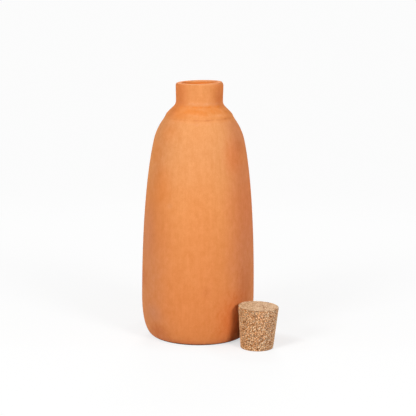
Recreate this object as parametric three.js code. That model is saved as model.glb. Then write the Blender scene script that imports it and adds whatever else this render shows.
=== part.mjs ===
// A thrown terracotta water bottle with its tapered cork, which stands beside it.
// Millimetres, +Z up. The origin is the centre of the flat base, and the front is towards -Y.
// Outlines are half sections, drawn as radius and height and turned about the axis.

import * as THREE from "three";

const degrees = THREE.MathUtils.degToRad;
const at = (radius, height) => new THREE.Vector2(radius, height);

// Bottle: overall height, and the widest ring of the body.
const bottleHeight = 240;
const bellyRadius = 53.1;
const bellyHeight = 39.1;

// Heel: the foot stands inside the belly, and its curve leaves the floor level and arrives upright.
const footInset = 9.4;
const heelSpread = 1.3;
const heelRise = 34;

// Body wall: it leaves the belly upright and leans in towards the shoulder.
const wallRise = 22.3;
const wallLean = degrees(12.4);
const wallReach = 47;

// Shoulder: it bends over from the end of the wall to the seam.
const shoulderRise = 21.4;
const shoulderReach = 10.4;
const shoulderLean = degrees(38);

// Collar: a low ring luted to the body at the seam, which ends in a straight cone.
const collarRise = 4.5;
const collarReach = 2.4;
const collarSwell = 2;
const coneLean = degrees(44.9);
const coneReach = 7.6;

// Neck: the upright tube that carries the mouth, from the point of the cone's corner up to the rim.
const neckLength = 20.1;
const neckWall = 5.4;
const neckFillet = 7.1;
const lipFlare = 0.3;
const lipRound = 1.8;

// Hollow: the mouth's bore, and the clay left round the water.
const mouthRadius = 16.4;
const mouthRound = 1.4;
const wallThickness = 6.5;
const floorThickness = 8;
const boreEase = 9;

// Stopper: it wedges where its taper is as wide as the mouth, and its top was cut a little aslant.
const stopperLength = 38.8;
const stopperTaper = degrees(5.1);
const stopperSeat = 14.3;
const stopperEdge = 0.7;
const stopperSlant = degrees(1.4);

// Rest place of the stopper: on the floor, almost touching the belly, to the front right.
const stopperBearing = degrees(-39.4);
const stopperGap = 0.5;

// Fineness of the round faces.
const bottleFacets = 48;
const stopperFacets = 40;
const facetSag = 0.1;
const tangentSamples = 24;

// Sizes that follow from those above.
const footRadius = bellyRadius - footInset;
const neckRadius = mouthRadius + neckWall;
const lipRadius = neckRadius + lipFlare;
const collarRadius = neckRadius + coneReach;
const seamRadius = collarRadius + collarReach;
const coneHeight = bottleHeight - neckLength;
const collarHeight = coneHeight - coneReach / Math.tan(coneLean);
const seamHeight = collarHeight - collarRise;
const shoulderRadius = seamRadius + shoulderReach;
const shoulderHeight = seamHeight - shoulderRise;
const stopperFootRadius = mouthRadius - stopperSeat * Math.tan(stopperTaper);
const stopperTopRadius = stopperFootRadius + stopperLength * Math.tan(stopperTaper);

// The line beside another one, as the inside of a wall runs beside its outside.
class ParallelCurve extends THREE.Curve {
  constructor(curve, distance) {
    super();
    this.curve = curve;
    this.distance = distance;
  }

  getPoint(t, target = at(0, 0)) {
    const along = this.curve.getTangent(t);
    return target.set(-along.y, along.x).multiplyScalar(this.distance).add(this.curve.getPoint(t));
  }
}

// The same line, drawn from its end to its start.
class ReversedCurve extends THREE.Curve {
  constructor(curve) {
    super();
    this.curve = curve;
  }

  getPoint(t, target = at(0, 0)) {
    return target.copy(this.curve.getPoint(1 - t));
  }
}

function line(from, to) {
  return new THREE.LineCurve(from, to);
}

function bend(from, corner, to) {
  return new THREE.QuadraticBezierCurve(from, corner, to);
}

function sweep(from, leaving, arriving, to) {
  return new THREE.CubicBezierCurve(from, leaving, arriving, to);
}

// An arc that turns clockwise, or anticlockwise if its end angle is the larger one.
function arc(centre, radius, start, end) {
  return new THREE.EllipseCurve(centre.x, centre.y, radius, radius, start, end, end < start);
}

function heelOutside() {
  return sweep(
    at(footRadius, 0),
    at(footRadius + heelSpread, 0),
    at(bellyRadius, bellyHeight - heelRise),
    at(bellyRadius, bellyHeight),
  );
}

// The way up a wall that leans in by an angle.
function upward(lean) {
  return at(-Math.sin(lean), Math.cos(lean));
}

function wallOutside() {
  const end = at(shoulderRadius, shoulderHeight);
  return sweep(
    at(bellyRadius, bellyHeight),
    at(bellyRadius, bellyHeight + wallRise),
    end.clone().addScaledVector(upward(wallLean), -wallReach),
    end,
  );
}

// The shoulder goes on from the wall, and the directions at its two ends meet in the corner of its bend.
function shoulderOutside() {
  const start = at(shoulderRadius, shoulderHeight);
  const seam = at(seamRadius, seamHeight);
  const leaving = upward(wallLean);
  const arriving = upward(shoulderLean);
  const reach = seam.clone().sub(start).cross(arriving) / leaving.cross(arriving);
  return bend(start, start.clone().addScaledVector(leaving, reach), seam);
}

// The collar swells out of the seam and runs into the cone, which a fillet joins to the neck.
function collarAndNeck() {
  const seam = at(seamRadius, seamHeight);
  const crest = at(collarRadius, collarHeight);
  const swell = at(collarRadius + collarSwell * Math.tan(coneLean), collarHeight - collarSwell);
  const cut = neckFillet * Math.tan(coneLean / 2);
  const coneEnd = at(neckRadius + cut * Math.sin(coneLean), coneHeight - cut * Math.cos(coneLean));
  const neckStart = at(neckRadius, coneHeight + cut);
  const fillet = arc(at(neckRadius + neckFillet, neckStart.y), neckFillet, Math.PI + coneLean, Math.PI);
  const neckEnd = at(lipRadius, bottleHeight - lipRound);
  const third = (neckEnd.y - neckStart.y) / 3;
  const neck = sweep(neckStart, at(neckRadius, neckStart.y + third), at(lipRadius, neckEnd.y - third), neckEnd);
  return [bend(seam, swell, crest), line(crest, coneEnd), fillet, neck];
}

// The rim is a flat land between a round outer edge and a round inner one.
function rim() {
  const outerEdge = at(lipRadius - lipRound, bottleHeight - lipRound);
  const innerEdge = at(mouthRadius + mouthRound, bottleHeight - mouthRound);
  return [
    arc(outerEdge, lipRound, 0, Math.PI / 2),
    line(at(outerEdge.x, bottleHeight), at(innerEdge.x, bottleHeight)),
    arc(innerEdge, mouthRound, Math.PI / 2, Math.PI),
  ];
}

// The bore drops through the neck, opens under the shoulder and follows the wall down to the floor.
function hollow() {
  const shoulder = new ReversedCurve(new ParallelCurve(shoulderOutside(), wallThickness));
  const wall = new ReversedCurve(new ParallelCurve(wallOutside(), wallThickness));
  const underSeam = shoulder.getPoint(0);
  const bellyInside = wall.getPoint(1);
  const corner = at(mouthRadius, underSeam.y + (underSeam.x - mouthRadius) / Math.tan(shoulderLean));
  const boreEnd = at(mouthRadius, corner.y + boreEase);
  const floorEdge = at(bellyInside.x - footInset, floorThickness);
  const heelShare = (bellyHeight - floorThickness) / bellyHeight;
  const heel = sweep(
    bellyInside,
    at(bellyInside.x, bellyHeight - heelRise * heelShare),
    at(floorEdge.x + heelSpread, floorThickness),
    floorEdge,
  );
  return [
    line(at(mouthRadius, bottleHeight - mouthRound), boreEnd),
    bend(boreEnd, corner, underSeam),
    shoulder,
    wall,
    heel,
    line(floorEdge, at(0, floorThickness)),
  ];
}

// The angle that a curve turns through from end to end.
function turning(curve) {
  let turned = 0;
  for (let i = 0; i < tangentSamples; i++) {
    const before = curve.getTangent(i / tangentSamples);
    const after = curve.getTangent((i + 1) / tangentSamples);
    turned += Math.abs(Math.atan2(before.cross(after), before.dot(after)));
  }
  return turned;
}

// Points along a chain of curves, close enough that no chord lies further than the sag from its curve.
function trace(curves) {
  const points = [curves[0].getPoint(0)];
  for (const curve of curves) {
    const steps = Math.sqrt((curve.getLength() * turning(curve)) / (8 * facetSag));
    points.push(...curve.getPoints(Math.max(1, Math.ceil(steps))).slice(1));
  }
  return points;
}

// A solid of revolution about the upright axis.
function turned(curves, facets) {
  return new THREE.LatheGeometry(trace(curves), facets).rotateX(Math.PI / 2);
}

function bottleGeometry() {
  const base = line(at(0, 0), at(footRadius, 0));
  const outside = [base, heelOutside(), wallOutside(), shoulderOutside(), ...collarAndNeck()];
  return turned([...outside, ...rim(), ...hollow()], bottleFacets);
}

// The cork's section has a straight tapered side between two slightly worn edges.
function stopperSection() {
  const footCorner = at(stopperFootRadius, 0);
  const topCorner = at(stopperTopRadius, stopperLength);
  const up = at(Math.sin(stopperTaper), Math.cos(stopperTaper)).multiplyScalar(stopperEdge);
  const footIn = at(stopperFootRadius - stopperEdge, 0);
  const topIn = at(stopperTopRadius - stopperEdge, stopperLength);
  const sideStart = footCorner.clone().add(up);
  const sideEnd = topCorner.clone().sub(up);
  return [
    line(at(0, 0), footIn),
    bend(footIn, footCorner, sideStart),
    line(sideStart, sideEnd),
    bend(sideEnd, topCorner, topIn),
    line(topIn, at(0, stopperLength)),
  ];
}

// The foot stays square to the axis, and the top leans down towards +X.
function stopperGeometry() {
  const geometry = turned(stopperSection(), stopperFacets);
  const places = geometry.getAttribute("position");
  for (let i = 0; i < places.count; i++) {
    const height = places.getZ(i);
    const drop = (places.getX(i) * Math.tan(stopperSlant) * height) / stopperLength;
    places.setZ(i, height - drop);
  }
  geometry.computeVertexNormals();
  return geometry;
}

function named(name, geometry, material) {
  const mesh = new THREE.Mesh(geometry, material);
  mesh.name = name;
  return mesh;
}

const terracotta = new THREE.MeshStandardMaterial({ color: 0xde8a52, roughness: 0.85, metalness: 0 });
const pressedCork = new THREE.MeshStandardMaterial({ color: 0xc08f5e, roughness: 0.9, metalness: 0 });

const bottle = named("clay_bottle", bottleGeometry(), terracotta);

const stopper = named("cork_stopper", stopperGeometry(), pressedCork);
const stopperDistance = bellyRadius + stopperTopRadius + stopperGap;
stopper.position.set(stopperDistance * Math.cos(stopperBearing), stopperDistance * Math.sin(stopperBearing), 0);

const object = new THREE.Group();
object.add(bottle, stopper);

export default object;
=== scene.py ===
# %% [markdown]
# # A clay water bottle and its cork
#
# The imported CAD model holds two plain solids: a hollow terracotta bottle and a tapered cork that stands
# beside it. This lesson gives each a mesh and a finish that hold up close to: clay that was thrown, scraped
# and fired, and pressed cork with its granules and pits. Every Blender object is in metres, in the same
# frame as the CAD. Sizes below are written in millimetres, the unit of the potter's ruler, and MM turns
# them into metres.

# %% Load the frame
import math
from types import SimpleNamespace

import bpy
from mathutils import Matrix, Vector


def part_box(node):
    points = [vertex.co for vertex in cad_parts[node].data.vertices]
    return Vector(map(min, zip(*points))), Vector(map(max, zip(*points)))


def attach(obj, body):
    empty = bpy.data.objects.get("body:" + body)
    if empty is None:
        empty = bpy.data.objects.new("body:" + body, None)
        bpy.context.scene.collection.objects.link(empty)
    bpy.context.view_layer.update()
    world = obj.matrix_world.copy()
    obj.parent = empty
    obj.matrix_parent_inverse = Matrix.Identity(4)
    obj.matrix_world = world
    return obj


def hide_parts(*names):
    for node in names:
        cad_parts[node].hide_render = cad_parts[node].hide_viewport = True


MM = 0.001
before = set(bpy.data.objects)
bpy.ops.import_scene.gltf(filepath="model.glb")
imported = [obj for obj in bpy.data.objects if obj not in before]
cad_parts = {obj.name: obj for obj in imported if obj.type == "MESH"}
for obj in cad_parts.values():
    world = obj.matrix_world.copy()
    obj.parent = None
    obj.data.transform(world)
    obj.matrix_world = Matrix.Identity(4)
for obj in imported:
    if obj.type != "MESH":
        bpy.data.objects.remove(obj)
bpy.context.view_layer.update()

# %% [markdown]
# ## Node maths as plain sums
#
# Both the meshes and the finishes are node trees, and a tree of Math nodes is hard to read. A small class
# that holds one output socket lets a sum on sockets be written as a sum in Python: each operator adds its
# Math node. Any other node comes from one method, which sets the node's options first and then its sockets,
# because options such as a data type decide which sockets the node shows.

# %% Wires
class Wire:
    """One output socket of a node tree. Sums on wires add Math nodes to that tree."""

    def __init__(self, socket):
        self.socket = socket

    @staticmethod
    def pick(sockets, key):
        """A socket by its number, or the first one shown under that name."""
        if isinstance(key, int):
            return sockets[key]
        return next(socket for socket in sockets if socket.enabled and socket.name == key)

    @staticmethod
    def set_stops(ramp, stops):
        """Gives a colour ramp its stops, each a place from 0 to 1 and a colour."""
        while len(ramp.elements) < len(stops):
            ramp.elements.new(1.0)
        for element, (place, colour) in zip(ramp.elements, stops):
            element.position = place
            element.color = colour

    @classmethod
    def add(cls, tree, kind, settings=None, inputs=None, output=0):
        """Adds a node: its settings first, then the values or wires of its sockets."""
        node = tree.nodes.new(kind)
        for name, value in (settings or {}).items():
            if name == "stops":
                cls.set_stops(node.color_ramp, value)
            else:
                setattr(node, name, value)
        for key, value in (inputs or {}).items():
            socket = cls.pick(node.inputs, key)
            if isinstance(value, Wire):
                tree.links.new(value.socket, socket)
            else:
                socket.default_value = value
        return cls(cls.pick(node.outputs, output)) if node.outputs else node

    def also(self, output):
        """Another output of the same node."""
        return Wire(self.pick(self.socket.node.outputs, output))

    def math(self, operation, *others):
        """A Math node on this wire, with further wires or numbers."""
        return self.add(self.socket.id_data, "ShaderNodeMath", {"operation": operation},
                        dict(enumerate((self, *others))))

    def from_number(self, operation, number):
        """A Math node that starts from a number, as 1 - wire does."""
        return self.add(self.socket.id_data, "ShaderNodeMath", {"operation": operation},
                        {0: number, 1: self})

    def vector(self, operation, other, output="Vector"):
        """A Vector Math node on this wire and another vector."""
        return self.add(self.socket.id_data, "ShaderNodeVectorMath", {"operation": operation},
                        {0: self, 1: other}, output)

    def length(self):
        """The length of a vector."""
        return self.add(self.socket.id_data, "ShaderNodeVectorMath", {"operation": "LENGTH"},
                        {0: self}, "Value")

    def __add__(self, other):
        return self.math("ADD", other)

    def __sub__(self, other):
        return self.math("SUBTRACT", other)

    def __mul__(self, other):
        return self.math("MULTIPLY", other)

    def __truediv__(self, other):
        return self.math("DIVIDE", other)

    def __radd__(self, number):
        return self.from_number("ADD", number)

    def __rsub__(self, number):
        return self.from_number("SUBTRACT", number)

    def __rmul__(self, number):
        return self.from_number("MULTIPLY", number)

    def __rtruediv__(self, number):
        return self.from_number("DIVIDE", number)


print("Wires add, subtract, multiply and divide")

# %% [markdown]
# Three soft shapes come back again and again: a step from 0 to 1, a bell round a value, and smooth noise.
# Noise is read in four dimensions. The fourth is its seed, so each use has a pattern of its own, the same
# on every run.

# %% Soft steps and noise
def smooth(value, low, high):
    """0 below low, 1 above high, with a soft step between. With low above high it falls instead."""
    return Wire.add(value.socket.id_data, "ShaderNodeMapRange", {"interpolation_type": "SMOOTHSTEP"},
                    {"Value": value, "From Min": low, "From Max": high})


def bell(value, middle, width):
    """1 at the middle, falling softly to 0 at that distance on either side."""
    return smooth((value - middle).math("ABSOLUTE"), width, 0.0)


def noise(place, detail, roughness, seed, output=0):
    """Smooth noise with features about one unit wide; the seed is a place along a fourth axis."""
    inputs = {"Vector": place, "W": seed, "Scale": 1.0, "Detail": detail, "Roughness": roughness}
    return Wire.add(place.socket.id_data, "ShaderNodeTexNoise", {"noise_dimensions": "4D"}, inputs, output)


def combine(x, y, z):
    """A vector from three wires or numbers, of which one at least is a wire."""
    tree = next(part for part in (x, y, z) if isinstance(part, Wire)).socket.id_data
    return Wire.add(tree, "ShaderNodeCombineXYZ", None, {"X": x, "Y": y, "Z": z})


def evenly(value):
    """The same wire three times, as a vector or as a grey."""
    return combine(value, value, value)


print("Steps, bells and noise are ready")

# %% [markdown]
# ## The camera
#
# The photograph was taken from a little above, through a long lens. The bottle is a body of revolution, so
# its outline, its rim and its foot together fix where the camera stood: 1.28 m in front, 367 mm above the
# table, looking down by 10.9 degrees. A lens of 120 mm on a full-frame sensor then gives the photograph's
# framing.

# %% Camera
CAMERA_PLACE = (8.9, -1279.2, 366.7)
CAMERA_PITCH = math.radians(10.85)
CAMERA_ROLL = math.radians(0.54)
CAMERA_LENS = 119.8
SENSOR_WIDTH = 36.0

camera_data = bpy.data.cameras.new("camera")
camera_data.lens = CAMERA_LENS
camera_data.sensor_width = SENSOR_WIDTH
camera = bpy.data.objects.new("camera", camera_data)
camera.matrix_world = (
    Matrix.Translation(Vector(CAMERA_PLACE) * MM)
    @ Matrix.Rotation(math.pi / 2 - CAMERA_PITCH, 4, "X")
    @ Matrix.Rotation(CAMERA_ROLL, 4, "Z")
)
bpy.context.scene.collection.objects.link(camera)
bpy.context.scene.camera = camera
print("Camera stands", round(CAMERA_PLACE[2]), "mm above the table")

# %% [markdown]
# ## Outlines
#
# A pot is turned on a wheel, so half of its section says all about its shape. A section is drawn here as a
# chain of curves, radius against height. Each curve is a function that gives a point for a share of its
# way, from 0 to 1. A Bezier curve with its handles is how a draughtsman would fair such a wall, and few
# numbers hold it.

# %% Curves
TANGENT_STEP = 1e-4


def spot(radius, height):
    return Vector((radius, height))


def line(a, b):
    return lambda t: a.lerp(b, t)


def bend(a, corner, b):
    return lambda t: a.lerp(corner, t).lerp(corner.lerp(b, t), t)


def sweep(a, leaving, arriving, b):
    return lambda t: bend(a, leaving, arriving)(t).lerp(bend(leaving, arriving, b)(t), t)


def arc(centre, radius, start, end):
    def place(t):
        turn = start + (end - start) * t
        return centre + radius * Vector((math.cos(turn), math.sin(turn)))
    return place


def stretch_of(curve, start, end):
    return lambda t: curve(start + (end - start) * t)


def backwards(curve):
    return lambda t: curve(1.0 - t)


def beside(curve, distance):
    """The curve that runs at that distance to the left of another."""
    def place(t):
        along = (curve(min(1.0, t + TANGENT_STEP)) - curve(max(0.0, t - TANGENT_STEP))).normalized()
        return curve(t) + distance * Vector((-along.y, along.x))
    return place


quarter = arc(spot(0, 0), 10.0, 0.0, math.pi / 2)
print("Half way along a quarter circle of 10 mm:", [round(part, 2) for part in quarter(0.5)])

# %% [markdown]
# A chain of curves is read off as points: close together where the pot shows, further apart inside it. The
# points become a plain chain of edges, with an attribute that says which of them lie on the side that
# shows.

# %% Points along curves
LENGTH_SAMPLES = 40


def trace(chain):
    """Points along a chain of curves, each given with the spacing of its points."""
    points = [chain[0][0](0.0)]
    for curve, spacing in chain:
        fine = [curve(i / LENGTH_SAMPLES) for i in range(LENGTH_SAMPLES + 1)]
        length = sum((b - a).length for a, b in zip(fine, fine[1:]))
        steps = max(1, math.ceil(length / spacing))
        points += [curve(i / steps) for i in range(1, steps + 1)]
    return points


def outline_object(name, points, shown):
    """The points as a chain of edges in metres, with an attribute that is 1 on the shown side."""
    mesh = bpy.data.meshes.new(name)
    corners = [(p.x * MM, 0.0, p.y * MM) for p in points]
    mesh.from_pydata(corners, [(i, i + 1) for i in range(len(corners) - 1)], [])
    mesh.attributes.new("outside", "FLOAT", "POINT").data.foreach_set("value", shown)
    thing = bpy.data.objects.new(name, mesh)
    bpy.context.scene.collection.objects.link(thing)
    return thing


print("The quarter circle, traced at 1 mm, has", len(trace([(quarter, 1.0)])), "points")

# %% [markdown]
# ## The bottle's section
#
# The wall leaves a flat foot, stands almost upright over the belly and leans in to the shoulder. There a
# collar was luted on while the clay was wet, which leaves a valley all round. Above it a cone runs up to a
# short neck with a rounded lip. The widest radius and the height come from the CAD node, and the rest are
# the solid's own sizes, but for the foot: wear has rounded its edge more than the solid's, so it is inset a
# little further.

# %% Bottle sizes
bottle_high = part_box("clay_bottle")[1]
BELLY_RADIUS = bottle_high.x / MM
RIM_HEIGHT = bottle_high.z / MM
BELLY_HEIGHT = 39.1
FOOT_INSET = 11.0
HEEL_SPREAD = 2.6
HEEL_RISE = 34.0
WALL_RISE = 22.3
WALL_LEAN = math.radians(12.4)
WALL_REACH = 47.0
SHOULDER_RISE = 21.4
SHOULDER_REACH = 10.4
SHOULDER_LEAN = math.radians(38)
COLLAR_RISE = 4.5
COLLAR_REACH = 2.4
COLLAR_SWELL = 2.0
CONE_LEAN = math.radians(44.9)
CONE_REACH = 7.6
NECK_LENGTH = 20.1
NECK_WALL = 5.4
NECK_FILLET = 7.1
LIP_FLARE = 0.3
LIP_ROUND = 1.8
MOUTH_RADIUS = 16.4
MOUTH_ROUND = 1.4
WALL_THICKNESS = 6.5
FLOOR_THICKNESS = 8.0
BORE_EASE = 9.0

FOOT_RADIUS = BELLY_RADIUS - FOOT_INSET
NECK_RADIUS = MOUTH_RADIUS + NECK_WALL
LIP_RADIUS = NECK_RADIUS + LIP_FLARE
CONE_HEIGHT = RIM_HEIGHT - NECK_LENGTH
CREST_RADIUS = NECK_RADIUS + CONE_REACH
CREST_HEIGHT = CONE_HEIGHT - CONE_REACH / math.tan(CONE_LEAN)
SEAM_RADIUS = CREST_RADIUS + COLLAR_REACH
SEAM_HEIGHT = CREST_HEIGHT - COLLAR_RISE
SHOULDER_RADIUS = SEAM_RADIUS + SHOULDER_REACH
SHOULDER_HEIGHT = SEAM_HEIGHT - SHOULDER_RISE
print("Foot, belly, seam and neck radius in mm:",
      [round(radius, 1) for radius in (FOOT_RADIUS, BELLY_RADIUS, SEAM_RADIUS, NECK_RADIUS)])

# %% [markdown]
# The body comes first. Each curve starts where the one before it ends, and in the direction in which that
# one arrived, so the wall runs on without a crease. The shoulder's corner lies where the directions at its
# ends meet.

# %% Body curves
def upward(lean):
    """The way up a wall that leans in by an angle."""
    return Vector((-math.sin(lean), math.cos(lean)))


belly = spot(BELLY_RADIUS, BELLY_HEIGHT)
wall_top = spot(SHOULDER_RADIUS, SHOULDER_HEIGHT)
seam = spot(SEAM_RADIUS, SEAM_HEIGHT)
foot_edge = spot(FOOT_RADIUS, 0)
heel_curve = sweep(foot_edge, spot(FOOT_RADIUS + HEEL_SPREAD, 0), belly - spot(0, HEEL_RISE), belly)
wall_handle = wall_top - upward(WALL_LEAN) * WALL_REACH
wall_curve = sweep(belly, belly + spot(0, WALL_RISE), wall_handle, wall_top)
arriving = upward(SHOULDER_LEAN)
corner_reach = (seam - wall_top).cross(arriving) / upward(WALL_LEAN).cross(arriving)
shoulder_curve = bend(wall_top, wall_top + upward(WALL_LEAN) * corner_reach, seam)
print("Wall top at", round(wall_top.y, 1), "mm, seam at", round(seam.y, 1), "mm")

# %% [markdown]
# The collar swells out of the seam and ends in a straight cone. A fillet joins the cone to the neck, which
# flares very slightly up to the lip. Lip and mouth are rounded by quarter circles about their own centres.

# %% Neck curves
crest = spot(CREST_RADIUS, CREST_HEIGHT)
swell_corner = crest + COLLAR_SWELL * spot(math.tan(CONE_LEAN), -1)
collar_curve = bend(seam, swell_corner, crest)
fillet_cut = NECK_FILLET * math.tan(CONE_LEAN / 2)
cone_end = spot(NECK_RADIUS + fillet_cut * math.sin(CONE_LEAN),
                CONE_HEIGHT - fillet_cut * math.cos(CONE_LEAN))
neck_start = spot(NECK_RADIUS, CONE_HEIGHT + fillet_cut)
fillet_curve = arc(neck_start + spot(NECK_FILLET, 0), NECK_FILLET, math.pi + CONE_LEAN, math.pi)
neck_end = spot(LIP_RADIUS, RIM_HEIGHT - LIP_ROUND)
neck_third = spot(0, (neck_end.y - neck_start.y) / 3)
neck_curve = sweep(neck_start, neck_start + neck_third, neck_end - neck_third, neck_end)
lip_centre = neck_end - spot(LIP_ROUND, 0)
mouth_centre = spot(MOUTH_RADIUS + MOUTH_ROUND, RIM_HEIGHT - MOUTH_ROUND)
print("Neck from", round(neck_start.y, 1), "to", round(neck_end.y, 1), "mm")

# %% [markdown]
# The inside is the outside moved in by the thickness of the wall. Under the collar the bore opens along a
# bend, and a heel like the outer one leads to the floor. Only the first few millimetres of the mouth show.

# %% Inside curves
inner_shoulder = beside(shoulder_curve, WALL_THICKNESS)
inner_wall = beside(wall_curve, WALL_THICKNESS)
under_seam = inner_shoulder(1.0)
inner_belly = inner_wall(0.0)
bore_corner = spot(MOUTH_RADIUS, under_seam.y + (under_seam.x - MOUTH_RADIUS) / math.tan(SHOULDER_LEAN))
bore_end = bore_corner + spot(0, BORE_EASE)
floor_edge = spot(inner_belly.x - FOOT_INSET, FLOOR_THICKNESS)
inner_rise = spot(0, HEEL_RISE * (BELLY_HEIGHT - FLOOR_THICKNESS) / BELLY_HEIGHT)
inner_heel = sweep(inner_belly, inner_belly - inner_rise, floor_edge + spot(HEEL_SPREAD, 0), floor_edge)
print("Bore ends at", round(bore_end.y, 1), "mm")

# %% [markdown]
# Now the curves are chained, from the middle of the foot up to the mouth and down inside, each with the
# spacing of its points in millimetres. At the seam a small bend takes over from the end of the shoulder to
# the start of the collar, because wet clay can't hold a sharp valley.

# %% Bottle outline
FOOT_BAND = 3
SHOULDER_SHARE = 0.80
COLLAR_SHARE = 0.55

foot_band = spot(FOOT_RADIUS - FOOT_BAND, 0)
outside = trace([
    (line(spot(0, 0), foot_band), 6.0),
    (line(foot_band, foot_edge), 0.8),
    (heel_curve, 0.9),
    (wall_curve, 1.1),
    (stretch_of(shoulder_curve, 0.0, SHOULDER_SHARE), 0.9),
    (bend(shoulder_curve(SHOULDER_SHARE), seam, collar_curve(COLLAR_SHARE)), 0.5),
    (stretch_of(collar_curve, COLLAR_SHARE, 1.0), 0.7),
    (line(crest, cone_end), 0.7),
    (fillet_curve, 0.6),
    (neck_curve, 0.8),
    (arc(lip_centre, LIP_ROUND, 0.0, math.pi / 2), 0.35),
    (line(lip_centre + spot(0, LIP_ROUND), mouth_centre + spot(0, MOUTH_ROUND)), 0.5),
    (arc(mouth_centre, MOUTH_ROUND, math.pi / 2, math.pi), 0.35),
])
inside = trace([
    (line(mouth_centre - spot(MOUTH_ROUND, 0), bore_end), 0.9),
    (bend(bore_end, bore_corner, under_seam), 2.0),
    (backwards(inner_shoulder), 3.0),
    (backwards(inner_wall), 4.0),
    (inner_heel, 3.5),
    (line(floor_edge, spot(0, FLOOR_THICKNESS)), 6.0),
])
bottle_points = outside + inside[1:]
bottle_shown = [1.0] * len(outside) + [0.0] * (len(inside) - 1)
print("Bottle outline:", len(bottle_points), "points,", len(outside), "of them outside")

# %% [markdown]
# ## Geometry Nodes with named sizes
#
# A tree gets its sizes through named inputs, as a modifier in Blender's panel shows them. Each tree here
# ends in Realize Instances and Set Material. Running it on an empty object and keeping what comes out as a
# plain mesh leaves nothing for the export to work out.

# %% Trees
def new_tree(name, sizes):
    """A geometry tree with named inputs, and a wire for each of them."""
    tree = bpy.data.node_groups.new(name, "GeometryNodeTree")
    tree.interface.new_socket("Mesh", in_out="OUTPUT", socket_type="NodeSocketGeometry")
    for label, (kind, _) in sizes.items():
        tree.interface.new_socket(label, in_out="INPUT", socket_type="NodeSocket" + kind)
    source = tree.nodes.new("NodeGroupInput")
    return tree, {label: Wire(source.outputs[label]) for label in sizes}


def close_tree(tree, geometry, material):
    """Ends a tree: real geometry, smooth faces and the finish."""
    geometry = Wire.add(tree, "GeometryNodeRealizeInstances", None, {"Geometry": geometry})
    geometry = Wire.add(tree, "GeometryNodeSetShadeSmooth", None,
                        {"Geometry": geometry, "Shade Smooth": True})
    geometry = Wire.add(tree, "GeometryNodeSetMaterial", None, {"Geometry": geometry, "Material": material})
    Wire.add(tree, "NodeGroupOutput", None, {"Mesh": geometry})


def run_tree(tree, name, sizes):
    """Runs a tree with its sizes on a new object and keeps the result as a plain mesh."""
    thing = bpy.data.objects.new(name, bpy.data.meshes.new(name))
    bpy.context.scene.collection.objects.link(thing)
    modifier = thing.modifiers.new(name, "NODES")
    modifier.node_group = tree
    for item in tree.interface.items_tree:
        if item.in_out == "INPUT":
            modifier[item.identifier] = sizes[item.name][1]
    made = bpy.data.meshes.new_from_object(thing.evaluated_get(bpy.context.evaluated_depsgraph_get()))
    thing.modifiers.remove(modifier)
    thing.data = made
    made.name = name
    print(name, "has", sum(len(p.vertices) - 2 for p in made.polygons), "triangles")
    return thing


print("Trees can be made, closed and run")

# %% [markdown]
# Spin or a Screw modifier could turn an outline too, but a node tree can go on to shape the clay in the
# same breath. A grid is made with one row for each outline point and one column for each step round. Each
# grid point looks up its outline point by its row, and its column says how far round it lies. Merging by
# distance then closes the seam, where the last column meets the first, and the poles.

# %% Turning
MERGE_DISTANCE = 0.001 * MM


def turned(tree, outline, steps_round):
    """The outline turned about Z, as one closed mesh with its attribute for the shown side."""
    section = Wire.add(tree, "GeometryNodeObjectInfo", None, {"Object": outline}, "Geometry")
    rows = Wire.add(tree, "GeometryNodeAttributeDomainSize", {"component": "MESH"},
                    {"Geometry": section}, "Point Count")
    grid = Wire.add(tree, "GeometryNodeMeshGrid", None,
                    {"Vertices X": steps_round + 1, "Vertices Y": rows}, "Mesh")
    index = Wire.add(tree, "GeometryNodeInputIndex")
    row = index.math("MODULO", rows)
    turn = (index - row) / rows / steps_round * math.tau

    def of_row(data_type, value):
        return Wire.add(tree, "GeometryNodeSampleIndex", {"data_type": data_type},
                        {"Geometry": section, "Value": value, "Index": row}, "Value")

    point = of_row("FLOAT_VECTOR", Wire.add(tree, "GeometryNodeInputPosition"))
    radius = Wire.add(tree, "ShaderNodeSeparateXYZ", None, {0: point}, "X")
    shown = of_row("FLOAT", Wire.add(tree, "GeometryNodeInputNamedAttribute", {"data_type": "FLOAT"},
                                     {"Name": "outside"}, "Attribute"))
    place = combine(radius * turn.math("COSINE"), radius * turn.math("SINE"), radius.also("Z"))
    grid = Wire.add(tree, "GeometryNodeStoreNamedAttribute", {"data_type": "FLOAT", "domain": "POINT"},
                    {"Geometry": grid, "Name": "outside", "Value": shown})
    grid = Wire.add(tree, "GeometryNodeSetPosition", None, {"Geometry": grid, "Position": place})
    return Wire.add(tree, "GeometryNodeMergeByDistance", None,
                    {"Geometry": grid, "Distance": MERGE_DISTANCE})


def pushed(tree, geometry, amount):
    """Moves each point along its normal by an amount in millimetres."""
    offset = Wire.add(tree, "GeometryNodeInputNormal").vector("MULTIPLY", evenly(amount * MM))
    return Wire.add(tree, "GeometryNodeSetPosition", None, {"Geometry": geometry, "Offset": offset})


print("Points closer than", MERGE_DISTANCE / MM, "mm are merged")
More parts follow.
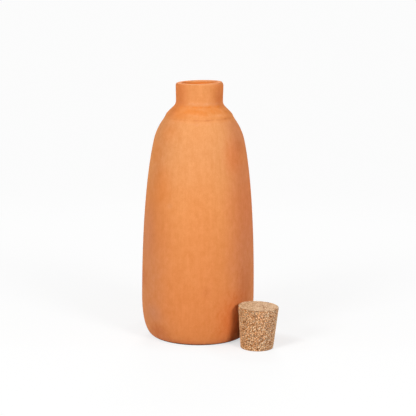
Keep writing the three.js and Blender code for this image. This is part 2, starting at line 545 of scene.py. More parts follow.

# %% [markdown]
# ## Terracotta
#
# Fired earthenware is never one flat orange. Wiping leaves faint upright streaks on the wall and the wheel
# leaves level rings on neck and collar. Where the collar was luted on, slip was smeared and dried paler. An
# orange band in the hollow at the foot of the neck is painted bounce light. The clay is darker low down,
# partly its own colour and partly painted shade. The flanks, which turn away from the lamps, are painted
# redder and darker as shade. A pinkish bloom low down is partly salt that damp drew out and partly a painted
# reflection of the white floor. Use left single marks; the two beside the cork are painted shade and light
# that the cork throws back. The dark edge at the foot is painted contact shade and the paler rim a painted
# highlight. A painted image could hold all this, but noise and soft shapes wrap round the pot without a seam
# and stay sharp close to. The tints come first, as linear colours.

# %% Clay tints
# Darker and redder low, paler high: partly the clay's own colour and partly painted shade low down.
CLAY_LOW = (0.72, 0.253, 0.075, 1)
CLAY_HIGH = (0.785, 0.332, 0.107, 1)
CLAY_HAZE = (0.71, 0.420, 0.215, 1)
CLAY_ORANGE = (0.75, 0.225, 0.036, 1)
# Painted shade: the next two tints give the flanks that turn from the lamps their darker, redder colour.
CLAY_FLANK_SHADE = (0.76, 0.203, 0.052, 1)
CLAY_RIGHT_FLANK_SHADE = (0.71, 0.205, 0.076, 1)
CLAY_RED = (0.56, 0.135, 0.040, 1)
# Pinkish bloom: partly salt that damp drew out and partly a painted reflection of the white floor.
CLAY_BLOOM_AND_REFLECTION = (0.66, 0.275, 0.145, 1)
CLAY_PALE = (0.80, 0.385, 0.180, 1)
# A deeper orange inside, partly painted bounce light of the clay on itself.
CLAY_INSIDE = (0.75, 0.215, 0.032, 1)
# Painted shade and bounce light where the cork stands next to the clay.
CLAY_CORK_SHADE_AND_BOUNCE = (0.69, 0.145, 0.026, 1)
CLAY_FOOT = (0.64, 0.160, 0.080, 1)
CLAY_DARK = (0.42, 0.115, 0.032, 1)
# Painted contact shade along the bottom edge of the foot, where it meets the table.
CLAY_CONTACT_SHADE = (0.10, 0.045, 0.025, 1)
WEAR_DEEP = (0.93, 0.85, 0.72, 1)
WEAR_LIGHT = (1.07, 1.15, 1.28, 1)
print("Clay runs from", CLAY_LOW[:3], "low down to", CLAY_HIGH[:3], "high up")

# %% [markdown]
# Rings and marks are lists. A ring has a height, a half width, the direction that it faces in degrees, and
# how strictly it keeps to that side. A mark has a centre and a half size. Both end with a strength and a
# tint. The slip ring and the seam ring are named, because the mesh reads them as well. The first two marks,
# next to the cork, are painted shade of the cork on the clay and warm light that the cork throws back at it.
# The mark in the flank tint is painted shade as well.

# %% Rings and marks
SLIP_RING = (CONE_HEIGHT + 2.4, 2.0, -88, 0.7)
SEAM_RING = (SEAM_HEIGHT + 0.6, 1.3, -57, 1.1)
CLAY_RINGS = [
    (SLIP_RING, 0.55, CLAY_PALE),
    # Painted bounce light: the next two orange rings fill the hollow at the foot of the neck.
    ((CONE_HEIGHT - 0.8, 1.6, -96, 0.6), 0.80, CLAY_ORANGE),
    ((CONE_HEIGHT - 4.5, 6.0, -90, 0.4), 0.65, CLAY_ORANGE),
    ((CREST_HEIGHT - 0.3, 2.2, -75, 0.5), 0.30, CLAY_PALE),
    (SEAM_RING, 0.50, CLAY_RED),
    ((SEAM_HEIGHT + 0.2, 1.2, -125, 0.5), 0.18, CLAY_RED),
    ((SEAM_HEIGHT - 2.6, 2.4, -90, 0.5), 0.35, CLAY_PALE),
]
CLAY_MARKS = [
    # Painted shade and bounce light of the cork on the clay, in the first two marks.
    ((34, -40, 22), (26, 29, 42), 0.55, CLAY_CORK_SHADE_AND_BOUNCE),
    ((44, -28, 54), (16, 24, 34), 0.34, CLAY_RED),
    ((-33, -33, 148), (16, 18, 28), 0.35, CLAY_ORANGE),
    ((-24, -24, 195), (16, 18, 15), 0.25, CLAY_ORANGE),
    ((31, -29, 174), (19, 20, 26), 0.42, CLAY_FLANK_SHADE),
    ((-37, -17, 176), (13, 20, 18), 0.30, CLAY_ORANGE),
    ((38, -15, 175), (12, 18, 17), 0.28, CLAY_ORANGE),
    ((-24, -14, 214), (10, 12, 8), 0.30, CLAY_RED),
    ((19, -13, 227), (9, 12, 11), 0.25, CLAY_RED),
    ((-33, -31, 11), (18, 21, 12), 0.42, CLAY_RED),
    ((-51, -12, 58), (9, 24, 16), 0.30, CLAY_RED),
    ((-15, -22, 212), (13, 14, 9), 0.35, CLAY_ORANGE),
    ((-50, -20, 104), (16, 36, 44), 0.50, CLAY_BLOOM_AND_REFLECTION),
    ((-40, -32, 28), (15, 20, 13), 0.45, CLAY_BLOOM_AND_REFLECTION),
    ((37, -21, 184), (13, 13, 12), 0.25, CLAY_RED),
    ((8, -52, 52), (7, 12, 8), 0.20, CLAY_RED),
    ((-26, -43, 131), (4, 9, 4), 0.25, CLAY_PALE),
    ((-2, -34, 204), (3, 9, 2), 0.35, CLAY_PALE),
]
print(len(CLAY_RINGS), "rings and", len(CLAY_MARKS), "marks")

# %% [markdown]
# A finish asks of each place where it lies on the piece: how high, how far from the axis and in which
# direction. Directions are two numbers from -1 to 1, not an angle, because an angle jumps where it starts
# again and would leave a seam.

# %% Places and mixes
LEAST_RADIUS = 0.1


def scaled(place, across, up=None):
    """A place times one number, or times another one in height."""
    return place.vector("MULTIPLY", (across, across, up or across))


def xyz(place):
    x = Wire.add(place.socket.id_data, "ShaderNodeSeparateXYZ", None, {0: place}, "X")
    return x, x.also("Y"), x.also("Z")


def radius_of(x, y):
    return (x * x + y * y).math("SQRT")


def sides_of(x, y):
    """The direction from the axis as two numbers. A least radius keeps them small on the axis itself."""
    radius = radius_of(x, y).math("MAXIMUM", LEAST_RADIUS)
    return x / radius, y / radius


def wound(sides, z, per_radius, tall):
    """A place for noise that runs round a piece: features to one radius, and how tall they are."""
    return combine(sides[0] * per_radius, sides[1] * per_radius, z / tall)


def mix(factor, a, b):
    """The colour a where the factor is 0, and b where it is 1."""
    return Wire.add(factor.socket.id_data, "ShaderNodeMix", {"data_type": "RGBA"},
                    {"Factor": factor, "A": a, "B": b}, "Result")


def layered(colour, layers):
    """A colour with tints laid over it, each by its own amount."""
    for amount, tint in layers:
        colour = mix(amount, colour, tint)
    return colour


print("Places and mixes are ready")

# %% [markdown]
# A material starts empty, reads the place on the piece from Object coordinates or from an attribute of the
# mesh, and ends in one Principled shader.

# %% Materials
def new_material(name):
    """An empty material and its node tree."""
    material = bpy.data.materials.new(name)
    material.use_nodes = True
    material.node_tree.nodes.clear()
    return material, material.node_tree


def place_on_piece(tree):
    """The place on the piece in millimetres."""
    return scaled(Wire.add(tree, "ShaderNodeTexCoord", None, None, "Object"), 1 / MM)


def finish_material(tree, inputs):
    """Ends a material: one Principled shader with these values and wires."""
    shader = Wire.add(tree, "ShaderNodeBsdfPrincipled", None, inputs)
    Wire.add(tree, "ShaderNodeOutputMaterial", None, {"Surface": shader})


print("Materials can be started and finished")

# %% [markdown]
# A potter's rings are never whole: slip smears and a sponge wipes, so a ring wanders up and down and breaks
# off. Noise moves its height and cuts it into patches, and its height is the seed, so no two rings break
# alike.

# %% Broken rings
WANDERS_PER_RADIUS = 2.5
WANDER_REACH = 2.5
PATCHES = {"per_radius": 4, "tall": 5}
PATCH_WEIGHT = 2.4
PATCH_EDGE = (0.75, 1.5)
PATCH_SEED = 7


def broken_ring(place, height, width, facing, focus):
    """A level ring at a height, which wanders and breaks off. It shows most in the direction it faces."""
    x, y, z = xyz(place)
    sides = sides_of(x, y)
    turn = math.radians(facing)
    towards = sides[0] * math.cos(turn) + sides[1] * math.sin(turn)
    around = combine(sides[0] * WANDERS_PER_RADIUS, sides[1] * WANDERS_PER_RADIUS, 0.0)
    wander = noise(around, detail=2.0, roughness=0.5, seed=height) - 0.5
    patches = noise(wound(sides, z, **PATCHES), detail=3.0, roughness=0.65, seed=height + PATCH_SEED)
    band = bell(z + wander * WANDER_REACH, height, width)
    return band * smooth((towards - 1) * focus + patches * PATCH_WEIGHT, *PATCH_EDGE)


print("Rings wander by up to", WANDER_REACH / 2, "mm")

# %% [markdown]
# The clay's tints go by noise of several sizes and by zones of the pot. Streaks and bands are wound round
# it, and clouds, mottle, grain and specks lie in the clay. A zone is a number from 0 to 1: the collar and
# what lies above it, the wall below it, the neck, and the flanks to the right and left. Clouds give the
# flanks a ragged edge.

# %% Clay noise and zones
STREAKS = {"per_radius": 24, "tall": 28}
BANDS = {"per_radius": 1.2, "tall": 2.2}
CLOUDS_PER_MM = (1 / 38, 1 / 50)
MOTTLES_PER_MM = (1 / 5, 1 / 7)
GRAINS_PER_MM = 1.8
SPECKS_PER_MM = 0.9
COLLAR_EDGE = (SEAM_HEIGHT - 6, SEAM_HEIGHT + 3)
NECK_EDGE = (CONE_HEIGHT - 5, CONE_HEIGHT + 3)
FLANK_EDGE = (0.35, 0.95)
FLANK_RAGGED = 0.4


def clay_wires(tree):
    """What the clay's tints go by."""
    place = place_on_piece(tree)
    x, y, z = xyz(place)
    sides = sides_of(x, y)
    clouds = noise(scaled(place, *CLOUDS_PER_MM), detail=3.0, roughness=0.55, seed=3.0) - 0.5
    collar = smooth(z, *COLLAR_EDGE)
    return SimpleNamespace(
        place=place,
        z=z,
        side=sides[0],
        streaks=noise(wound(sides, z, **STREAKS), detail=4.0, roughness=0.6, seed=1.0) - 0.5,
        bands=noise(wound(sides, z, **BANDS), detail=3.0, roughness=0.6, seed=2.0) - 0.5,
        clouds=clouds,
        mottle=noise(scaled(place, *MOTTLES_PER_MM), detail=6.0, roughness=0.75, seed=4.0) - 0.5,
        grain=noise(scaled(place, GRAINS_PER_MM), detail=3.0, roughness=0.7, seed=5.0),
        specks=noise(scaled(place, SPECKS_PER_MM), detail=2.0, roughness=0.5, seed=6.0),
        shown=Wire.add(tree, "ShaderNodeAttribute", {"attribute_name": "outside"}, None, "Fac"),
        collar=collar,
        wall=1 - collar,
        neck=smooth(z, *NECK_EDGE),
        right=smooth(sides[0] + clouds * FLANK_RAGGED, *FLANK_EDGE),
        left=smooth(clouds * FLANK_RAGGED - sides[0], *FLANK_EDGE),
    )


print("Collar zone from", round(COLLAR_EDGE[0], 1), "mm, neck zone from", round(NECK_EDGE[0], 1), "mm")

# %% [markdown]
# Firing and damp left part of the broad tints. The rest is painted shade on the lower wall and on the flanks
# that turn from the lamps, and a painted reflection of the white floor low on the flanks. Each is laid over
# the last, by an amount that rises or falls between two heights in millimetres.

# %% Fired colour
BODY_RISE = (5, 195)
RED_RISE = (50, 110)
RIGHT_FLANK_SHADE_RISE = (20, 110)
# How far up the bloom reaches, which is partly a painted reflection of the white floor.
LEFT_BLOOM_AND_REFLECTION_FALL = (120, 60)
RIGHT_BLOOM_AND_REFLECTION_FALL = (150, 90)
HAZE_RISE = (125, 180)
NECK_SIDES = (0.1, 0.7)


def fired_and_painted_light(clay):
    """The broad tints of wall, flanks, collar and neck, painted shade and reflection among them."""
    z = clay.z
    red = clay.left * clay.wall * smooth(z, *RED_RISE)
    # The bloom is partly salt and partly a painted reflection of the white floor.
    bloom_and_reflection = clay.left * smooth(z, *LEFT_BLOOM_AND_REFLECTION_FALL) * 0.75 + clay.right * smooth(z, *RIGHT_BLOOM_AND_REFLECTION_FALL) * 0.66
    # Darker low down: partly the clay's own colour and partly painted shade.
    body = mix(smooth(z + clay.clouds * 60, *BODY_RISE), CLAY_LOW, CLAY_HIGH)
    # Painted shade: flank tints, neck sides, left-wall red and right-wall tint, where the pot turns from the
    # lamps.
    return layered(body, [
        ((clay.right + clay.left) * (clay.collar * 0.35 + clay.neck * 0.3), CLAY_FLANK_SHADE),
        (smooth(clay.side.math("ABSOLUTE"), *NECK_SIDES) * clay.neck * 0.2, CLAY_ORANGE),
        (clay.neck * 0.1, CLAY_BLOOM_AND_REFLECTION),
        (red * 0.24, CLAY_RED),
        (red * 0.18, CLAY_FLANK_SHADE),
        (clay.right * clay.wall * smooth(z, *RIGHT_FLANK_SHADE_RISE) * 0.75, CLAY_RIGHT_FLANK_SHADE),
        (bloom_and_reflection * (0.75 + clay.mottle * 1.2) * 0.65, CLAY_BLOOM_AND_REFLECTION),
        (smooth(z + clay.clouds * 30, *HAZE_RISE) * clay.wall * 0.2, CLAY_HAZE),
    ])


print("Bloom fades out by", LEFT_BLOOM_AND_REFLECTION_FALL[0], "mm on the left and", RIGHT_BLOOM_AND_REFLECTION_FALL[0], "mm on the right")

# %% [markdown]
# Rings and marks come next, then the wear. Streaks, mottle, bands and grain darken and lighten the whole
# colour by multiplying it. The rim is painted paler, as a highlight on the lip. The inside is a deeper
# orange, partly painted bounce light of the clay on itself. The foot is darker and redder towards the
# bottom, and its bottom edge is painted dark as contact shade. There are a few dark specks of grit. A bump
# adds the grain, which is too fine for a mesh. Rings, scrapes and the seam are in the mesh as well.

# %% Terracotta finish
MARK_FALL = (1.0, 0.1)
MARK_RAGGED = 0.6
WEAR_EDGE = (-0.6, 0.6)
# The rim's paler band is a painted highlight.
RIM_EDGE = (RIM_HEIGHT - 1.6, RIM_HEIGHT - 0.2)
FOOT_FALL = (8, 1)
# Painted contact shade: how high the dark edge at the foot reaches.
CONTACT_SHADE_FALL = (2.0, 0.9)
SPECK_EDGE = (0.70, 0.78)
CLAY_BUMP = 0.12


def marked(clay, colour):
    """The colour with its rings and marks."""
    rings = [(broken_ring(clay.place, *ring) * strength, tint) for ring, strength, tint in CLAY_RINGS]
    colour = layered(colour, rings)
    for centre, size, strength, tint in CLAY_MARKS:
        away = clay.place.vector("SUBTRACT", centre).vector("DIVIDE", size).length()
        colour = mix(smooth(away + clay.mottle * MARK_RAGGED, *MARK_FALL) * strength, colour, tint)
    return colour


def worn_with_painted_light(clay, colour):
    """The colour with streaks and grain, and painted light: rim highlight, bounce inside, contact shade at
    the foot.
    """
    z = clay.z
    uneven = clay.streaks * (0.5 - clay.collar * 0.25) + clay.mottle * 1.5
    uneven = uneven + clay.bands * clay.collar * 0.35 + (clay.grain - 0.5) * 1.2
    colour = colour.vector("MULTIPLY", mix(smooth(uneven, *WEAR_EDGE), WEAR_DEEP, WEAR_LIGHT))
    return layered(colour, [
        # Painted highlight on the rim.
        (smooth(z, *RIM_EDGE) * clay.shown * 0.3, CLAY_PALE),
        # Inside: partly painted bounce light.
        (1 - clay.shown, CLAY_INSIDE),
        (smooth(z + clay.mottle * 8, *FOOT_FALL) * 0.4, CLAY_FOOT),
        # Painted contact shade along the foot's bottom edge.
        (smooth(z + clay.mottle * 2, *CONTACT_SHADE_FALL), CLAY_CONTACT_SHADE),
        (smooth(clay.specks, *SPECK_EDGE) * 0.35, CLAY_DARK),
    ])


def terracotta():
    """The fired clay, from its broad tints to its grain."""
    material, tree = new_material("terracotta")
    clay = clay_wires(tree)
    height = clay.grain + clay.streaks * 0.8
    bump = Wire.add(tree, "ShaderNodeBump", None,
                    {"Strength": 0.3, "Distance": CLAY_BUMP * MM, "Height": height}, "Normal")
    finish_material(tree, {
        "Base Color": worn_with_painted_light(clay, marked(clay, fired_and_painted_light(clay))),
        "Roughness": 0.78 + clay.grain * 0.15,
        "Diffuse Roughness": 0.7,
        "Specular IOR Level": 0.06,
        "Normal": bump,
    })
    return material


clay_finish = terracotta()
print("Terracotta has", len(clay_finish.node_tree.nodes), "nodes")

# %% [markdown]
# ## The thrown bottle
#
# The turned outline is too perfect for clay. The tree pushes each point along its normal by a few tenths of
# a millimetre: a slow wobble, level rings on the neck and collar, upright scrapes on the wall, a broken
# valley at the seam and a smear of slip on the neck's foot. The rim is cut a little out of level and its
# edge is worn rounder on one side, as in the photograph. The foot stays flat, so that the bottle stands.

# %% Thrown bottle
bottle_sizes = {
    "Outline": ("Object", outline_object("bottle_outline", bottle_points, bottle_shown)),
    "Steps round": ("Int", 248),
    "Wobble": ("Float", 0.35),
    "Ring depth": ("Float", 0.16),
    "Ring spacing": ("Float", 3.4),
    "Scrape depth": ("Float", 0.10),
    "Seam depth": ("Float", 0.25),
    "Smear height": ("Float", 0.20),
    "Rim slope": ("Float", math.tan(math.radians(1.77))),
    "Lip wear": ("Float", 0.55),
    "Finish": ("Material", clay_finish),
}
WOBBLES_PER_MM = (1 / 60, 1 / 75)
RINGS_PER_RADIUS = 0.7
SCRAPES = {"per_radius": 8, "tall": 70}
STANDING_EDGE = (0.5, 9.0)
THROWN_EDGE = (SEAM_HEIGHT - 8, SEAM_HEIGHT + 2)
LIP_BELL = (RIM_HEIGHT - 1, 2.5)
LIP_BAND = (LIP_RADIUS - 2.2, LIP_RADIUS - 0.8)
LIP_WORN_SIDE = (-0.3, 0.9)


def thrown_bottle_tree():
    tree, size = new_tree("thrown_bottle", bottle_sizes)
    body = turned(tree, size["Outline"], size["Steps round"])
    place = scaled(Wire.add(tree, "GeometryNodeInputPosition"), 1 / MM)
    x, y, z = xyz(place)
    sides = sides_of(x, y)
    collar = smooth(z, *THROWN_EDGE)
    wobble = noise(scaled(place, *WOBBLES_PER_MM), detail=1.0, roughness=0.5, seed=1.0) - 0.5
    level = wound(sides, z, RINGS_PER_RADIUS, size["Ring spacing"])
    rings = noise(level, detail=2.0, roughness=0.5, seed=2.0) - 0.5
    scrapes = noise(wound(sides, z, **SCRAPES), detail=2.0, roughness=0.5, seed=3.0) - 0.5
    lip = bell(z, *LIP_BELL) * smooth(radius_of(x, y), *LIP_BAND) * smooth(sides[0], *LIP_WORN_SIDE)
    push = wobble * size["Wobble"]
    push = push + rings * size["Ring depth"] * (0.3 + collar * 0.7)
    push = push + scrapes * size["Scrape depth"] * (1 - collar * 0.8)
    push = push - broken_ring(place, *SEAM_RING) * size["Seam depth"]
    push = push + broken_ring(place, *SLIP_RING) * size["Smear height"]
    push = push - lip * size["Lip wear"]
    body = pushed(tree, body, push * smooth(z, *STANDING_EDGE))
    lift = combine(0.0, 0.0, x * size["Rim slope"] * smooth(z, CONE_HEIGHT, RIM_HEIGHT) * MM)
    body = Wire.add(tree, "GeometryNodeSetPosition", None, {"Geometry": body, "Offset": lift})
    close_tree(tree, body, size["Finish"])
    return tree


bottle = run_tree(thrown_bottle_tree(), "thrown_bottle", bottle_sizes)
bpy.data.objects.remove(bottle_sizes["Outline"][1])

# %% [markdown]
# ## Pressed cork
#
# The stopper is pressed from cork granules of one to three millimetres with a little binder, ground to a
# taper and sawn off at the top. Voronoi cells stand for the granules: each cell has its own tint, the gaps
# between cells are dark binder, and some small cells have fallen out and left pits. Mesh and finish read
# the same cells. A kind of cell has a size in millimetres and a seed.

# %% Cork cells
GRANULE = (1.9, 7.0)
PIT = (0.87, 9.0)
CELL_BENDS_PER_MM = 0.9
CELL_FLATNESS = 1.25
PIT_CHANCE = (0.81, 0.85)
PIT_EDGE = (0.02, 0.2)


def cells(place, kind, feature, output):
    """Voronoi cells, a little flatter than wide, with their borders bent by noise."""
    size, seed = kind
    warp = noise(scaled(place, CELL_BENDS_PER_MM), detail=1.0, roughness=0.5, seed=seed, output="Color")
    bent = scaled(place.vector("ADD", warp), 1 / size, CELL_FLATNESS / size)
    return Wire.add(place.socket.id_data, "ShaderNodeTexVoronoi", {"feature": feature},
                    {"Vector": bent, "Scale": 1.0, "Randomness": 1.0}, output)


def cell_number(place, kind, part):
    """A random number for each cell: the Voronoi colour's X or Y."""
    colour = cells(place, kind, "F1", "Color")
    return Wire.add(place.socket.id_data, "ShaderNodeSeparateXYZ", None, {0: colour}, part)


def cell_edge(place, kind):
    """How far a place lies from the border of its cell."""
    return cells(place, kind, "DISTANCE_TO_EDGE", "Distance")


def pits_of(place):
    """1 inside the small cells that have fallen out."""
    return smooth(cell_number(place, PIT, "X"), *PIT_CHANCE) * smooth(cell_edge(place, PIT), *PIT_EDGE)


print("Granules of", GRANULE[0], "mm and pits of", PIT[0], "mm")

# %% [markdown]
# The cork's place comes from its CAD node, and its width from the mouth: it wedges 14.3 mm deep, where it
# is as wide as the bore. In the photograph it stands a little askew, so it leans 1.6 degrees and its top
# slopes by 2.3.

# %% Stopper sizes
stopper_low, stopper_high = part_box("cork_stopper")
STOPPER_X = (stopper_low.x + stopper_high.x) / 2 / MM
STOPPER_Y = (stopper_low.y + stopper_high.y) / 2 / MM
STOPPER_LENGTH = 39.1
STOPPER_SEAT = 14.3
STOPPER_TAPER = math.tan(math.radians(5.1))
STOPPER_SLANT = math.tan(math.radians(2.3))
STOPPER_LEAN = math.tan(math.radians(1.6))
STOPPER_FOOT_RADIUS = MOUTH_RADIUS - STOPPER_SEAT * STOPPER_TAPER
STOPPER_TOP_RADIUS = STOPPER_FOOT_RADIUS + STOPPER_LENGTH * STOPPER_TAPER
STOPPER_EDGE = 0.5
print("Cork is", round(2 * STOPPER_FOOT_RADIUS, 1), "mm wide at its foot and",
      round(2 * STOPPER_TOP_RADIUS, 1), "mm at its top")

# %% [markdown]
# The finish starts from a colour ramp, which each granule, small cell and bit of fine noise reads at
# another place. Binder fills the gaps between granules. The sawn top has a ramp of its own, greyer than the
# ground side. The side is painted warmer on the left, as bounce light from the clay, and paler on the right,
# as fill light from the white room. The mesh keeps each point's place from before it was pressed in, as an
# attribute, so that a pit's colour lies in its pit.

# %% Cork finish
CORK_TINTS = [
    (0.0, (0.42, 0.160, 0.055, 1)),
    (0.3, (0.735, 0.360, 0.150, 1)),
    (0.6, (0.82, 0.448, 0.200, 1)),
    (0.85, (0.835, 0.526, 0.268, 1)),
    (1.0, (0.87, 0.680, 0.440, 1)),
]
CORK_CUT_TINTS = [
    (0.0, (0.27, 0.129, 0.058, 1)),
    (0.5, (0.52, 0.325, 0.178, 1)),
    (1.0, (0.72, 0.512, 0.328, 1)),
]
CORK_BINDER = (0.20, 0.066, 0.019, 1)
# Painted light on the cork's side: warm bounce from the clay on the left, pale fill from the room on the
# right.
CORK_BOUNCE_TINT = (1.09, 1.05, 1.00, 1)
CORK_FILL_TINT = (1.06, 1.13, 1.26, 1)
BOUNCE_TO_FILL_SIDE = (-0.9, 0.9)
SIDE_SHADE = 0.655
CUT_SHADE = 0.57
CUT_EDGE = (STOPPER_LENGTH - 0.9, STOPPER_LENGTH - 0.3)
GAP_FALL = (0.18, 0.03)
CORK_FINE_PER_MM = 1.7
CORK_PATCHES_PER_MM = 0.22
CORK_BUMP = 0.2


def pressed_cork():
    """The ground side and the sawn top of the cork."""
    material, tree = new_material("pressed_cork")
    place = Wire.add(tree, "ShaderNodeAttribute", {"attribute_name": "rest"}, None, "Vector")
    x, y, z = xyz(place)
    tint = cell_number(place, GRANULE, "X")
    small = cell_number(place, PIT, "Y")
    fine = noise(scaled(place, CORK_FINE_PER_MM), detail=4.0, roughness=0.65, seed=8.0) - 0.5
    patch = noise(scaled(place, CORK_PATCHES_PER_MM), detail=2.0, roughness=0.5, seed=10.0) - 0.5
    cut = smooth(z, *CUT_EDGE)
    shade = SIDE_SHADE + (tint - 0.5) * 0.2 + (small - 0.5) * 1.1 + fine * 1.5
    side = Wire.add(tree, "ShaderNodeValToRGB", {"stops": CORK_TINTS}, {0: shade})
    # Painted bounce light on the left of the side and fill light on the right.
    side = side.vector("MULTIPLY", mix(smooth(sides_of(x, y)[0], *BOUNCE_TO_FILL_SIDE), CORK_BOUNCE_TINT, CORK_FILL_TINT))
    cut_shade = CUT_SHADE + (tint - 0.5) * 0.4 + (small - 0.5) * 0.9 + fine * 1.3 + patch * 0.3
    top = Wire.add(tree, "ShaderNodeValToRGB", {"stops": CORK_CUT_TINTS}, {0: cut_shade})
    colour = layered(side, [
        (smooth(cell_edge(place, GRANULE) + fine * 0.25, *GAP_FALL) * 0.82, CORK_BINDER),
        (cut * 0.9, top),
        (pits_of(place) * (0.85 - cut * 0.4), CORK_BINDER),
    ])
    bump = Wire.add(tree, "ShaderNodeBump", None,
                    {"Strength": 0.5, "Distance": CORK_BUMP * MM, "Height": fine}, "Normal")
    finish_material(tree, {
        "Base Color": colour,
        "Roughness": 0.85 + fine * 0.15,
        "Diffuse Roughness": 1.0,
        "Specular IOR Level": 0.12,
        "Normal": bump,
    })
    return material


cork_finish = pressed_cork()
print("Cork has", len(cork_finish.node_tree.nodes), "nodes")

# %% [markdown]
# The plug's section is a straight taper between two slightly worn edges. Its points lie close together,
# because the granules and pits are pushed into the mesh and not only painted on it.

# %% Stopper outline
def stopper_outline():
    foot = spot(STOPPER_FOOT_RADIUS, 0)
    top = spot(STOPPER_TOP_RADIUS, STOPPER_LENGTH)
    up = (top - foot).normalized() * STOPPER_EDGE
    inward = spot(STOPPER_EDGE, 0)
    return trace([
        (line(spot(0, 0), foot - inward), 0.9),
        (bend(foot - inward, foot, foot + up), 0.3),
        (line(foot + up, top - up), 0.33),
        (bend(top - up, top, top - inward), 0.3),
        (line(top - inward, spot(0, STOPPER_LENGTH)), 0.42),
    ])


stopper_points = stopper_outline()
print("Stopper outline:", len(stopper_points), "points")

# %% [markdown]
# ## The pressed stopper
#
# Granules swell a little out of the binder, pits sink in, and the top edge is rubbed away here and there.
# The saw left the top flatter than the side. Last the top slopes, the plug leans over its own middle and
# goes to its place on the table. The foot isn't pushed, so that it stands level.

# %% Pressed stopper
stopper_sizes = {
    "Outline": ("Object", outline_object("stopper_outline", stopper_points, [1.0] * len(stopper_points))),
    "Steps round": ("Int", 352),
    "Granule swell": ("Float", 0.18),
    "Pit depth": ("Float", 0.7),
    "Edge wear": ("Float", 0.3),
    "Finish": ("Material", cork_finish),
}
SWELL_EDGE = (0.0, 0.28)
SWELL_MIDDLE = 0.7
SAWN_EDGE = (STOPPER_LENGTH - 0.6, STOPPER_LENGTH - 0.1)
SAWN_FLATNESS = 0.7
RIM_BAND = (STOPPER_TOP_RADIUS - 1.6, STOPPER_TOP_RADIUS - 0.5)
CHIPS_PER_MM = 0.35
CHIP_HEIGHT = 1.6
PLUG_STANDING_EDGE = (0.05, 1.0)


def cork_tree():
    tree, size = new_tree("cork_plug", stopper_sizes)
    plug = turned(tree, size["Outline"], size["Steps round"])
    place = scaled(Wire.add(tree, "GeometryNodeInputPosition"), 1 / MM)
    plug = Wire.add(tree, "GeometryNodeStoreNamedAttribute",
                    {"data_type": "FLOAT_VECTOR", "domain": "POINT"},
                    {"Geometry": plug, "Name": "rest", "Value": place})
    x, y, z = xyz(place)
    swell = smooth(cell_edge(place, GRANULE), *SWELL_EDGE) - SWELL_MIDDLE
    chips = noise(scaled(place, CHIPS_PER_MM), detail=2.0, roughness=0.5, seed=11.0)
    wear = chips * bell(z, STOPPER_LENGTH, CHIP_HEIGHT) * smooth(radius_of(x, y), *RIM_BAND)
    push = swell * size["Granule swell"] * (1 - smooth(z, *SAWN_EDGE) * SAWN_FLATNESS)
    push = push - pits_of(place) * size["Pit depth"] - wear * size["Edge wear"]
    plug = pushed(tree, plug, push * smooth(z, *PLUG_STANDING_EDGE))
    drop = x * z * (-STOPPER_SLANT / STOPPER_LENGTH)
    lean = (z - STOPPER_LENGTH / 2) * STOPPER_LEAN
    offset = combine((STOPPER_X + lean) * MM, STOPPER_Y * MM, drop * MM)
    plug = Wire.add(tree, "GeometryNodeSetPosition", None, {"Geometry": plug, "Offset": offset})
    close_tree(tree, plug, size["Finish"])
    return tree


stopper = run_tree(cork_tree(), "pressed_stopper", stopper_sizes)
bpy.data.objects.remove(stopper_sizes["Outline"][1])

# %% [markdown]
# ## The floor
#
# A white paper floor runs far back, so that it fills the view. Its own card takes the light and the
# shadows, and a glow that only the camera and mirror-like or see-through surfaces see lifts the lit card to
# white, so that what stays visible of it is the shadow. The card counts most round the feet of bottle and
# cork, where it leaves a thin dark line of contact. It counts less in front of them and not at all far
# away, where the glow is a shade greyer, as painted falloff of the light. A footprint has a place, a radius
# and the strength of its shade.

# %% Floor
FLOOR_SIZE = 30.0
FLOOR_DROP = 0.2
CARD = 0.45
LIT_CARD = 0.94
SHADE_NEAR = 0.22
SHADE_FALL = (620, 70)
# The glow far away is greyer, as painted falloff of the light.
PAPER_FAR = 0.97
PAPER_RISE = (200, 900)
SHADE_CONTACT = 0.28
CONTACT_FALL = (2.4, 0.3)
FRONT_SHADE = 0.4
FRONT_EDGE = (-75, -25)
FOOTPRINTS = [(0, 0, FOOT_RADIUS, 0.27), (STOPPER_X, STOPPER_Y, STOPPER_FOOT_RADIUS, 0.46)]
FOOTPRINT_FALL = (60, 20)


def white_floor():
    """White paper that shows a share of the light and shadow that fall on it."""
    material, tree = new_material("white_floor")
    place = place_on_piece(tree)
    away = place.length()
    front = FRONT_SHADE + (1 - FRONT_SHADE) * smooth(xyz(place)[1], *FRONT_EDGE)
    share = SHADE_NEAR * smooth(away, *SHADE_FALL) * front
    paper = 1 - (1 - PAPER_FAR) * smooth(away, *PAPER_RISE)
    for x, y, radius, strength in FOOTPRINTS:
        beyond = place.vector("DISTANCE", (x, y, 0), "Value") - radius
        share = share.math("MAXIMUM", smooth(beyond, *FOOTPRINT_FALL) * front * strength)
        share = share.math("MAXIMUM", smooth(beyond, *CONTACT_FALL) * SHADE_CONTACT)
    ray = Wire.add(tree, "ShaderNodeLightPath", None, None, "Is Camera Ray")
    seen = ray.math("MAXIMUM", ray.also("Is Glossy Ray")).math("MAXIMUM", ray.also("Is Transmission Ray"))
    finish_material(tree, {
        "Base Color": evenly(CARD + seen * (share - CARD)),
        "Roughness": 1.0,
        "Specular IOR Level": 0.0,
        "Emission Color": evenly(seen * (paper - share * LIT_CARD)),
        "Emission Strength": 1.0,
    })
    return material


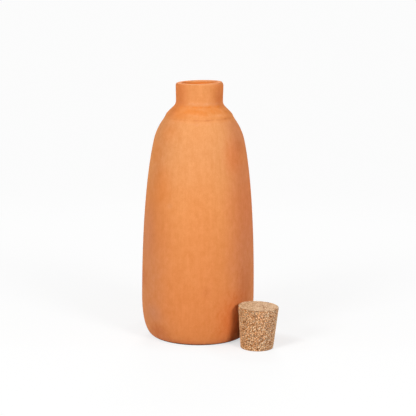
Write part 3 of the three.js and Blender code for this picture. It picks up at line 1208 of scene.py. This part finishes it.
half = FLOOR_SIZE / 2
floor_corners = [(-half, -half, 0), (half, -half, 0), (half, half, 0), (-half, half, 0)]
floor_mesh = bpy.data.meshes.new("floor")
floor_mesh.from_pydata(floor_corners, [], [(0, 1, 2, 3)])
floor_mesh.transform(Matrix.Translation((0, 0, -FLOOR_DROP * MM)))
floor_mesh.materials.append(white_floor())
floor = bpy.data.objects.new("floor", floor_mesh)
bpy.context.scene.collection.objects.link(floor)
print("Floor is", FLOOR_SIZE, "m wide")

# %% [markdown]
# ## The light
#
# Two softboxes stand to the left and right of the camera at about 40 degrees, which is where the
# photograph's two shadows point. A weak one hangs overhead, and one behind shows the back in other views. A
# little light comes from the room. Each lamp has its place and its side in metres, and its power in watts.

# %% Lamps
ROOM_LIGHT = 0.18
LAMPS = {
    "left_softbox": ((-0.93, -1.18, 0.7), 0.45, 15.6),
    "right_softbox": ((0.90, -1.2, 0.7), 0.45, 13.8),
    "top_softbox": ((0.0, -0.3, 1.8), 1.2, 1.8),
    "back_softbox": ((0.0, 2.4, 1.0), 1.0, 36.0),
}
AIM = Vector((0, 0, 0.13))

world = bpy.data.worlds.new("room")
world.use_nodes = True
bpy.context.scene.world = world
room = world.node_tree.nodes["Background"]
room.inputs["Color"].default_value = (1, 1, 1, 1)
room.inputs["Strength"].default_value = ROOM_LIGHT

for name, (place, side, watts) in LAMPS.items():
    lamp_data = bpy.data.lights.new(name, "AREA")
    lamp_data.shape = "SQUARE"
    lamp_data.size = side
    lamp_data.energy = watts
    lamp = bpy.data.objects.new(name, lamp_data)
    lamp.location = place
    lamp.rotation_euler = (AIM - Vector(place)).to_track_quat("-Z", "Y").to_euler()
    bpy.context.scene.collection.objects.link(lamp)

bpy.context.scene.view_settings.view_transform = "Standard"
print("Lamps:", ", ".join(LAMPS))

# %% [markdown]
# ## Onto the frame
#
# Each mesh stands for its CAD node and moves with its body, so the cork can be lifted off the table.

# %% Ride and finish
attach(bottle, "bottle")
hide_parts("clay_bottle")
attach(stopper, "stopper")
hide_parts("cork_stopper")
